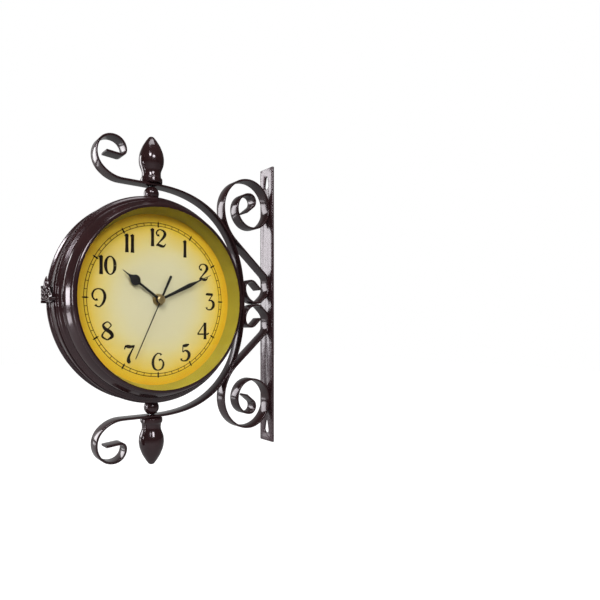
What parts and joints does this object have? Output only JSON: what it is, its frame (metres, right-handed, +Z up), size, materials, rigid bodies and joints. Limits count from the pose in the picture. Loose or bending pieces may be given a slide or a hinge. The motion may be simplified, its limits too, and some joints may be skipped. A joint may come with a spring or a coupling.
{
  "type": "double sided station clock",
  "caption": "Double sided station clock: round drum case with two dials, swivelling between ball spacers in a curled strip hoop on a scrolled wall bar.",
  "frame": {"origin": "middle of the wall bar's back face, on the wall plane", "axes": "+X into the wall, -Y the front dial's facing side, +Z up"},
  "size_m": [0.299, 0.0758, 0.3802],
  "materials": {
    "brown_paint": "glossy dark brown paint with soft highlights",
    "dial_print": "printed dial, pale cream centre to golden edge",
    "olive_gold": "olive gold satin paint",
    "lens": "clear flat lens",
    "hand_black": "black lacquer",
    "brass": "satin brass",
    "steel": "bright zinc-plated steel",
    "works_black": "matte black moulding",
    "cell_wrap": "plain grey cell wrap"
  },
  "bodies": {
    "bracket": {"wall_bar": "brown_paint", "hoop": "brown_paint", "upper_scroll": "brown_paint", "lower_scroll": "brown_paint", "upper_finial": "brown_paint", "upper_ball": "brown_paint", "upper_rod": "steel", "upper_washer": "steel", "upper_nut": "steel", "lower_finial": "brown_paint", "lower_ball": "brown_paint", "lower_rod": "steel", "lower_washer": "steel", "lower_nut": "steel"},
    "case": {"rear_shell": "brown_paint", "upper_bush": "brass", "lower_bush": "brass", "hinge_leaf_rear": "brown_paint", "hinge_pin": "steel", "latch_base": "brown_paint", "latch_pin": "steel", "rear_glass": "lens", "rear_rim_liner": "olive_gold", "rear_dial": "dial_print", "rear_retainer": "steel", "rear_movement_case": "works_black", "rear_movement_cover": "works_black", "rear_battery": "cell_wrap", "rear_stem_washer": "brass", "rear_stem_nut": "brass"},
    "front_door": {"front_shell": "brown_paint", "hinge_leaf_front": "brown_paint", "catch_stud": "brown_paint", "front_glass": "lens", "front_rim_liner": "olive_gold", "front_dial": "dial_print", "front_retainer": "steel", "front_movement_case": "works_black", "front_movement_cover": "works_black", "front_battery": "cell_wrap", "front_stem_washer": "brass", "front_stem_nut": "brass"},
    "latch": {"latch_hasp": "brown_paint"},
    "front_hour": {"front_hour_hand": "hand_black", "front_hour_arbor": "brass"},
    "front_minute": {"front_minute_hand": "hand_black", "front_minute_arbor": "brass"},
    "front_second": {"front_second_hand": "hand_black", "front_second_arbor": "steel", "front_hub_cap": "brass"},
    "front_setting": {"front_setting_arbor": "works_black"},
    "rear_hour": {"rear_hour_hand": "hand_black", "rear_hour_arbor": "brass"},
    "rear_minute": {"rear_minute_hand": "hand_black", "rear_minute_arbor": "brass"},
    "rear_second": {"rear_second_hand": "hand_black", "rear_second_arbor": "steel", "rear_hub_cap": "brass"},
    "rear_setting": {"rear_setting_arbor": "works_black"}
  },
  "joints": [
    {"name": "case_swivel", "type": "hinge", "parent": "bracket", "child": "case", "pos_m": [-0.17637, 0, 0], "axis": [0, 0, 1], "continuous": true},
    {"name": "front_door_hinge", "type": "hinge", "parent": "case", "child": "front_door", "pos_m": [-0.05647, -0.0145, 0], "axis": [0, 0, 1], "range_deg": [0, 95]},
    {"name": "latch_pivot", "type": "hinge", "parent": "case", "child": "latch", "pos_m": [-0.29697, 0.012, 0.003], "axis": [0, 0, -1], "range_deg": [0, 110]},
    {"name": "front_minute_turn", "type": "hinge", "parent": "front_door", "child": "front_minute", "pos_m": [-0.17637, -0.022, 0], "axis": [0, 1, 0], "continuous": true},
    {"name": "front_hour_turn", "type": "hinge", "parent": "front_door", "child": "front_hour", "pos_m": [-0.17637, -0.022, 0], "axis": [0, 1, 0], "continuous": true},
    {"name": "front_second_turn", "type": "hinge", "parent": "front_door", "child": "front_second", "pos_m": [-0.17637, -0.022, 0], "axis": [0, 1, 0], "continuous": true},
    {"name": "front_setting_turn", "type": "hinge", "parent": "front_door", "child": "front_setting", "pos_m": [-0.16432, -0.005, 0.00942], "axis": [0, 1, 0], "continuous": true},
    {"name": "rear_minute_turn", "type": "hinge", "parent": "case", "child": "rear_minute", "pos_m": [-0.17637, 0.022, 0], "axis": [0, -1, 0], "continuous": true},
    {"name": "rear_hour_turn", "type": "hinge", "parent": "case", "child": "rear_hour", "pos_m": [-0.17637, 0.022, 0], "axis": [0, -1, 0], "continuous": true},
    {"name": "rear_second_turn", "type": "hinge", "parent": "case", "child": "rear_second", "pos_m": [-0.17637, 0.022, 0], "axis": [0, -1, 0], "continuous": true},
    {"name": "rear_setting_turn", "type": "hinge", "parent": "case", "child": "rear_setting", "pos_m": [-0.18843, 0.005, 0.00942], "axis": [0, -1, 0], "continuous": true}
  ],
  "couplings": [
    {"joint": "front_hour_turn", "follows": "front_minute_turn", "ratio": 0.083333},
    {"joint": "front_second_turn", "follows": "front_minute_turn", "ratio": 60},
    {"joint": "front_setting_turn", "follows": "front_minute_turn", "ratio": -0.33333},
    {"joint": "rear_hour_turn", "follows": "rear_minute_turn", "ratio": 0.083333},
    {"joint": "rear_second_turn", "follows": "rear_minute_turn", "ratio": 60},
    {"joint": "rear_setting_turn", "follows": "rear_minute_turn", "ratio": -0.33333}
  ]
}
